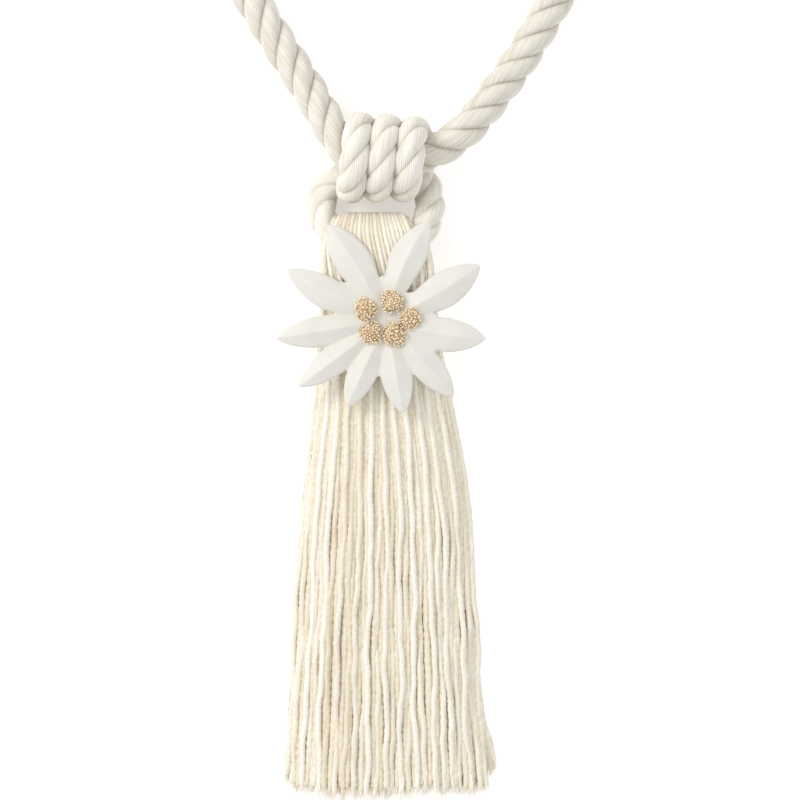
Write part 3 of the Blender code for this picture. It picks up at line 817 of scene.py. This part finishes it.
def makeFrays(ends):
    mesh = bpy.data.meshes.new("cut ends")
    mesh.from_pydata([tuple(end[0]) for end in ends], [], [])
    aim = mesh.attributes.new("aim", "FLOAT_VECTOR", "POINT")
    aim.data.foreach_set("vector", [c for end in ends for c in end[1].normalized()])
    for label, place in (("shade", 2), ("share", 3)):
        layer = mesh.attributes.new(label, "FLOAT", "POINT")
        layer.data.foreach_set("value", [end[place] for end in ends])
    sizes = {"Fibres": fray["fibres"], "Length": fray["length"] * mm,
             "Root": fray["length"] * fray["root"] * mm,
             "Thickness": fray["thickness"] * mm, "Spread": fray["spread"],
             "Bend": fray["bend"] * mm, "Yarn Radius": tassel["yarnRadius"] * mm,
             "Seed": fray["seed"], "Material": paintedLightFibrePaint}
    frays = grow("tassel_frayed_ends", addObject("cut ends", mesh), frayTree(sizes), sizes)
    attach(frays, "root")


outerYarns, yarnEnds = makeYarns()
makeFrays(yarnEnds)


# Short hairs that stand off the ropes and the outer yarns

fuzz = {"length": 2.2, "thickness": 0.07, "sides": 3, "outward": 0.55, "least": 0.4, "most": 1.2,
        "crestFrom": 0.86, "crestRise": 8, "facingFrom": -0.35, "facingRise": 4,
        "ropeDensity": 60000.0, "yarnDensity": 30000.0, "seed": 3,
        "bends": ((0.0, -0.1), (0.1, 0.5), (0.6, 0.7))}  # across and along, in lengths


def fuzzTree(sizes):
    sheet, given = growthSheet("fuzz", sizes)
    seed = given.out("Seed")
    high = readValue(sheet, "FLOAT", "reach")
    facing = sheet.add("ShaderNodeSeparateXYZ", None, sheet.add("GeometryNodeInputNormal")).out("Z")
    often = (clampShare(sheet, (high - fuzz["crestFrom"]) * fuzz["crestRise"])
             * clampShare(sheet, (facing - fuzz["facingFrom"]) * fuzz["facingRise"]))
    points = sheet.add("GeometryNodeDistributePointsOnFaces", {"distribute_method": "RANDOM"},
                       given, Density=often * given.out("Density"), Seed=seed)
    outward = sheet.vector("SCALE", points.out("Normal"), Scale=fuzz["outward"])
    way = sheet.vector("ADD", outward, randomWay(sheet, seed + 1))
    length = given.out("Length")
    bends = [sheet.add("ShaderNodeCombineXYZ", None, length * across, 0.0, length * along)
             for across, along in fuzz["bends"]]
    hair = bentFibre(sheet, bends, fuzz["sides"], given.out("Thickness"), 0.0)
    hairs = scatterFibres(sheet, points, hair, way, fuzz, seed + 2)
    hairs = stayAbove(sheet, hairs)
    finishGrowth(sheet, hairs, given.out("Material"))
    return sheet.tree


def fuzzSizes(density):
    return {"Density": density, "Length": fuzz["length"] * mm,
            "Thickness": fuzz["thickness"] * mm, "Seed": fuzz["seed"], "Material": paintedLightFibrePaint}


fuzzGrowth = fuzzTree(fuzzSizes(fuzz["ropeDensity"]))


def makeFuzz(name, bearer, density):
    base = addObject(name + " bearer", bearer.data.copy())
    hairs = grow(name, base, fuzzGrowth, fuzzSizes(density))
    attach(hairs, "root")


makeFuzz("curtain_rope_fuzz", loopRope, fuzz["ropeDensity"])
makeFuzz("wrapping_rope_fuzz", bailRope, fuzz["ropeDensity"])
makeFuzz("tassel_fuzz", outerYarns, fuzz["yarnDensity"])


# The moulded flower: ten folded petals that run together in a flat middle

flower = {"x": 4.1, "y": -24.1, "back": 34.3, "rim": 2.0, "ridge": 3.0, "flat": 12.0,
          "foldFrom": 5.0, "foldFull": 20.0, "widest": 0.58, "slim": 0.86, "edge": 0.84,
          "voxel": 0.45, "across": 9, "stations": 30, "root": 0.12, "riseFrom": 0.4,
          "leastHalf": 0.25, "foldCurve": 1.05, "tipFold": 0.12, "tipOver": 0.32, "tipRim": 0.55,
          "rimGrows": 3, "rootCurve": 1.3, "tipCurve": 1.9, "tipRound": 0.72, "softness": 0.5,
          "softPasses": 5}
petals = [(29.9, 51.4, 8.9, 0.8, -1.5), (66.5, 50.9, 8.8, 0.0, 2.6), (121.5, 52.8, 9.2, 0.0, -1.0),
          (153.3, 52.5, 8.0, 0.8, 1.6), (189.7, 53.2, 7.8, 1.2, 0.4), (217.4, 52.8, 7.4, 0.6, 0.4),
          (245.9, 45.4, 7.4, 0.0, 0.0), (280.2, 45.4, 7.8, 0.0, 0.0), (311.1, 48.5, 7.6, 0.4, 0.0),
          (348.9, 48.1, 8.4, 1.0, -1.8)]  # turn, length, half width, rise and bow of each
notches = [(46.8, 18.0), (95.4, 21.6), (140.0, 28.6), (176.5, 28.0), (201.5, 29.0),
           (232.4, 30.4), (262.8, 27.6), (294.0, 30.2), (327.6, 28.0),
           (4.6, 24.8)]  # turn and reach of each notch between two petals


def petalHalf(half, share):
    # half width at a share of the length: slim at the root, pointed at the tip
    widest = flower["widest"]
    if share < widest:
        return half * (1 - flower["slim"] * ((widest - share) / widest) ** flower["rootCurve"])
    out = min(1.0, (share - widest) / (1 - widest))
    return half * max(0.0, 1 - out ** flower["tipCurve"]) ** flower["tipRound"]


def petalMesh(work, turn, length, half, rise, bow):
    count = flower["across"]
    rings = []
    for i in range(flower["stations"] + 1):
        share = math.sin(i / flower["stations"] * math.pi / 2)
        share = flower["root"] + (1 - flower["root"]) * share
        radius = share * length
        wide = max(petalHalf(half, share), flower["leastHalf"])
        lift = rise * max(0.0, (share - flower["riseFrom"]) / (1 - flower["riseFrom"])) ** 2
        crease = flower["ridge"] * min(1.0, max(0.0, (radius - flower["foldFrom"])
                                                / (flower["foldFull"] - flower["foldFrom"])))
        crease *= min(1.0, (1 - share) / flower["tipOver"] + flower["tipFold"])
        rim = flower["rim"] * min(1.0, flower["tipRim"] + (1 - share) * flower["rimGrows"])
        top = []
        under = []
        for k in range(-count, count + 1):
            side = k / count
            past = max(0.0, (abs(side) - flower["edge"]) / (1 - flower["edge"]))
            full = math.sqrt(max(0.0, 1 - past * past))  # the edge is rounded over
            height = rim * (0.5 + 0.5 * full) + crease * (1 - abs(side)) ** flower["foldCurve"]
            low = rim * 0.5 * (1 - full)
            spot = Vector((radius, side * wide + bow * 4 * share * (1 - share), 0))
            top.append(work.verts.new(spot + Vector((0, 0, height + lift))))
            if abs(k) < count:
                under.append(work.verts.new(spot + Vector((0, 0, low + lift))))
        rings.append(top + list(reversed(under)))
    for one, two in zip(rings, rings[1:]):
        for a in range(len(one)):
            b = (a + 1) % len(one)
            work.faces.new((one[a], one[b], two[b], two[a]))
    work.faces.new(rings[0])
    work.faces.new(list(reversed(rings[-1])))
    verts = [v for ring in rings for v in ring]
    bmesh.ops.rotate(work, verts=verts, cent=(0, 0, 0),
                     matrix=Matrix.Rotation(math.radians(turn), 3, "Z"))


def webMesh(work):
    # the flat middle, which fills the roots between the petals
    outline = [(turn, reach) for turn, reach in notches]
    outline += [(petal[0], flower["flat"]) for petal in petals]
    outline.sort()
    spots = [Vector((math.cos(math.radians(t)) * r, math.sin(math.radians(t)) * r, 0))
             for t, r in outline]
    under = [work.verts.new(p) for p in spots]
    over = [work.verts.new(p + Vector((0, 0, flower["rim"]))) for p in spots]
    work.faces.new(list(reversed(under)))
    work.faces.new(over)
    for i in range(len(spots)):
        j = (i + 1) % len(spots)
        work.faces.new((under[i], under[j], over[j], over[i]))


resin = {"light": linear(219, 217, 210), "warm": linear(211, 207, 196), "cloudScale": 90.0,
         "contrast": 1.6, "warmth": 0.4, "grainScale": 1600.0, "relief": 0.12,
         "reliefDepth": 0.0002, "roughness": 0.55, "roughnessPlay": 0.15}


def resinPaint():
    material, sheet = paintSheet("matt resin")
    place = sheet.add("ShaderNodeTexCoord").out("Object")
    cloud = sheet.add("ShaderNodeTexNoise", None, place, Scale=resin["cloudScale"], Detail=2.0)
    grain = sheet.add("ShaderNodeTexNoise", None, place, Scale=resin["grainScale"], Detail=2.0)
    tone = clampShare(sheet, (cloud - 0.5) * resin["contrast"] + resin["warmth"])
    colour = mixColour(sheet, tone, resin["light"], resin["warm"])
    roughness = resin["roughness"] + (grain - 0.5) * resin["roughnessPlay"]
    bump = sheet.add("ShaderNodeBump", None, Strength=resin["relief"],
                     Distance=resin["reliefDepth"], Height=grain)
    surface = sheet.add("ShaderNodeBsdfPrincipled", None, Base_Color=colour, Roughness=roughness,
                        Normal=bump)
    sheet.add("ShaderNodeOutputMaterial", None, surface)
    return material


def makeFlower():
    work = bmesh.new()
    for petal in petals:
        petalMesh(work, *petal)
    webMesh(work)
    bmesh.ops.recalc_face_normals(work, faces=work.faces)
    bmesh.ops.scale(work, vec=(mm, mm, mm), verts=work.verts)
    place = Vector((flower["x"], flower["y"], flower["back"])) * mm
    bmesh.ops.translate(work, verts=work.verts, vec=place)
    mesh = bpy.data.meshes.new("moulded_flower")
    work.to_mesh(mesh)
    work.free()
    shape = addObject("moulded flower shape", mesh)
    fuse = shape.modifiers.new("fuse", "REMESH")
    fuse.mode = "VOXEL"
    fuse.voxel_size = flower["voxel"] * mm
    soften = shape.modifiers.new("soften", "SMOOTH")
    soften.factor = flower["softness"]
    soften.iterations = flower["softPasses"]
    depsgraph = bpy.context.evaluated_depsgraph_get()
    moulded = bpy.data.meshes.new_from_object(shape.evaluated_get(depsgraph))
    bpy.data.objects.remove(shape)
    piece = addObject("moulded_flower", moulded)
    moulded.shade_smooth()
    moulded.materials.clear()
    moulded.materials.append(resinPaint())
    reportTriangles(piece)
    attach(piece, "root")
    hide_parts("flower")


makeFlower()

# Five clusters of crumbs in the middle of the flower

clusters = [(2.5, 8.6, 1.0), (11.2, 0.5, 1.0), (3.7, -7.3, 1.12), (-7.4, -6.6, 1.0),
            (-9.8, 4.7, 1.0)]  # x and y from the flower's middle, and how long each one is
crumb = {"radius": 5.5, "height": 4.2, "spacing": 0.95, "size": 0.66, "lumps": 0.13,
         "around": 20, "down": 12, "flatBelow": -0.1, "foot": 0.4, "gap": 0.3, "density": 9.0e6,
         "lift": (-0.4, 1.8), "least": (0.6, 0.6, 0.6), "most": (1.35, 1.1, 1.0), "seed": 10}
crumbLook = {"dark": linear(234, 214, 181), "light": linear(250, 238, 216),
             "under": linear(186, 154, 114), "speckScale": 1500.0, "speckFrom": 0.35,
             "contrast": 2.2, "roughness": 0.7}


def crumbTree(sizes):
    sheet, given = growthSheet("crumb cluster", sizes)
    points = sheet.add("GeometryNodeDistributePointsOnFaces", {"distribute_method": "POISSON"},
                       given, Distance_Min=given.out("Spacing"), Density_Max=crumb["density"],
                       Seed=given.out("Seed"))
    normal = points.out("Normal")
    seed = given.out("Seed")
    lift = sheet.add("FunctionNodeRandomValue", {"data_type": "FLOAT"}, *crumb["lift"],
                     Seed=seed + 1)
    raised = sheet.add("GeometryNodeSetPosition", None, points,
                       Offset=sheet.vector("SCALE", normal, Scale=lift * given.out("Crumb Size")))
    grain = sheet.add("GeometryNodeMeshIcoSphere", None, given.out("Crumb Size"), 1)
    turn = sheet.add("FunctionNodeRandomValue", {"data_type": "FLOAT_VECTOR"}, (0, 0, 0),
                     (math.tau, math.tau, math.tau), Seed=seed + 2)
    size = sheet.add("FunctionNodeRandomValue", {"data_type": "FLOAT_VECTOR"}, crumb["least"],
                     crumb["most"], Seed=seed + 3)
    grains = sheet.add("GeometryNodeInstanceOnPoints", None, raised, Instance=grain,
                       Rotation=turn, Scale=size)
    grains = sheet.add("GeometryNodeRealizeInstances", None, grains)
    grains = nameValue(sheet, grains, "FLOAT", "crumb", 1.0)
    grains = sheet.add("GeometryNodeSetShadeSmooth", None, grains)
    whole = sheet.add("GeometryNodeJoinGeometry", None, [grains, given])
    finishGrowth(sheet, whole, given.out("Material"))
    return sheet.tree


def crumbPaint():
    material, sheet = paintSheet("beige crumb")
    place = sheet.add("ShaderNodeTexCoord").out("Object")
    speck = sheet.add("ShaderNodeTexNoise", None, place, Scale=crumbLook["speckScale"], Detail=1.0)
    isCrumb = sheet.add("ShaderNodeAttribute", {"attribute_name": "crumb"}).out("Fac")
    tone = clampShare(sheet, (speck - crumbLook["speckFrom"]) * crumbLook["contrast"])
    grains = mixColour(sheet, tone, crumbLook["dark"], crumbLook["light"])
    colour = mixColour(sheet, isCrumb, crumbLook["under"], grains)
    surface = sheet.add("ShaderNodeBsdfPrincipled", None, Base_Color=colour,
                        Roughness=crumbLook["roughness"])
    sheet.add("ShaderNodeOutputMaterial", None, surface)
    return material


def domeSpot(turn, tilt, number):
    # a lumpy ball, flat below where it sits on the flower
    spot = Vector((math.sin(tilt) * math.cos(turn), math.sin(tilt) * math.sin(turn),
                   math.cos(tilt)))
    lump = math.sin(3 * turn + 2 * number) * math.sin(2.5 * spot.z + number)
    spot *= 1 + crumb["lumps"] * lump
    spot.z = max(crumb["flatBelow"], spot.z)
    return spot


def domeMesh(number):
    work = bmesh.new()
    around = crumb["around"]
    down = crumb["down"]
    top = work.verts.new(domeSpot(0, 0, number))
    rings = [[work.verts.new(domeSpot(math.tau * k / around, math.pi * i / down, number))
              for k in range(around)] for i in range(1, down)]
    foot = work.verts.new(domeSpot(0, math.pi, number))
    for k in range(around):
        n = (k + 1) % around
        work.faces.new((top, rings[0][k], rings[0][n]))
        for one, two in zip(rings, rings[1:]):
            work.faces.new((one[k], two[k], two[n], one[n]))
        work.faces.new((foot, rings[-1][n], rings[-1][k]))
    return work


def makeClusters():
    paint = crumbPaint()
    sizes = {"Spacing": crumb["spacing"] * mm, "Crumb Size": crumb["size"] * mm,
             "Seed": crumb["seed"], "Material": paint}
    tree = crumbTree(sizes)
    foot = flower["back"] + flower["rim"] + crumb["gap"] + crumb["foot"]
    for number, (x, y, longer) in enumerate(clusters, 1):
        work = domeMesh(number)
        size = crumb["radius"] - crumb["size"]
        bmesh.ops.scale(work, verts=work.verts, vec=(size * mm, size * longer * mm,
                                                     (crumb["height"] - crumb["foot"]) * mm))
        bmesh.ops.translate(work, verts=work.verts,
                            vec=Vector((flower["x"] + x, flower["y"] + y, foot)) * mm)
        mesh = bpy.data.meshes.new("cluster dome")
        work.to_mesh(mesh)
        work.free()
        piece = grow(f"crumb_cluster_{number}", addObject("cluster dome", mesh), tree,
                     {**sizes, "Seed": crumb["seed"] * number})
        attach(piece, "root")
        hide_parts(f"stamens_{number}")


makeClusters()


# A pale floor and soft light, strongest from the upper left

studio = {"floorHalf": 4.0, "paper": (0.9, 0.895, 0.895), "paperRoughness": 0.9,
          "glow": (1.0, 0.97, 0.97), "glowStrength": 0.3, "sky": (0.97, 0.98, 1.0),
          "skyStrength": 0.87, "aim": (0.01, -0.06, 0.0)}
lamps = [("key", (-1.1, 0.62, 1.14), 0.8, 14.2, (1.0, 0.985, 0.965)),
         ("fill", (1.2, -0.5, 1.5), 1.6, 3.6, (0.98, 0.985, 1.0))]  # place, size, watts, colour


def makeFloor():
    mesh = bpy.data.meshes.new("floor")
    size = studio["floorHalf"]
    mesh.from_pydata([(-size, -size, 0), (size, -size, 0), (size, size, 0), (-size, size, 0)], [],
                     [(0, 1, 2, 3)])
    floor = addObject("floor", mesh)
    material, sheet = paintSheet("white paper")
    surface = sheet.add("ShaderNodeBsdfPrincipled", None, Base_Color=studio["paper"],
                        Roughness=studio["paperRoughness"], Emission_Color=studio["glow"],
                        Emission_Strength=studio["glowStrength"])
    sheet.add("ShaderNodeOutputMaterial", None, surface)
    mesh.materials.append(material)


def setLights():
    for name, place, size, power, colour in lamps:
        lamp = addObject(name, bpy.data.lights.new(name, "AREA"))
        lamp.location = place
        lamp.data.size = size
        lamp.data.energy = power
        lamp.data.color = colour
        aim = Vector(studio["aim"]) - lamp.location
        lamp.rotation_euler = aim.to_track_quat("-Z", "Y").to_euler()
    scene.world = bpy.data.worlds.new("studio")
    scene.world.use_nodes = True
    sky = scene.world.node_tree.nodes["Background"]
    sky.inputs["Color"].default_value = (*studio["sky"], 1.0)
    sky.inputs["Strength"].default_value = studio["skyStrength"]
    print(f"floor, sky and {len(lamps)} lamps are set")


makeFloor()
setLights()
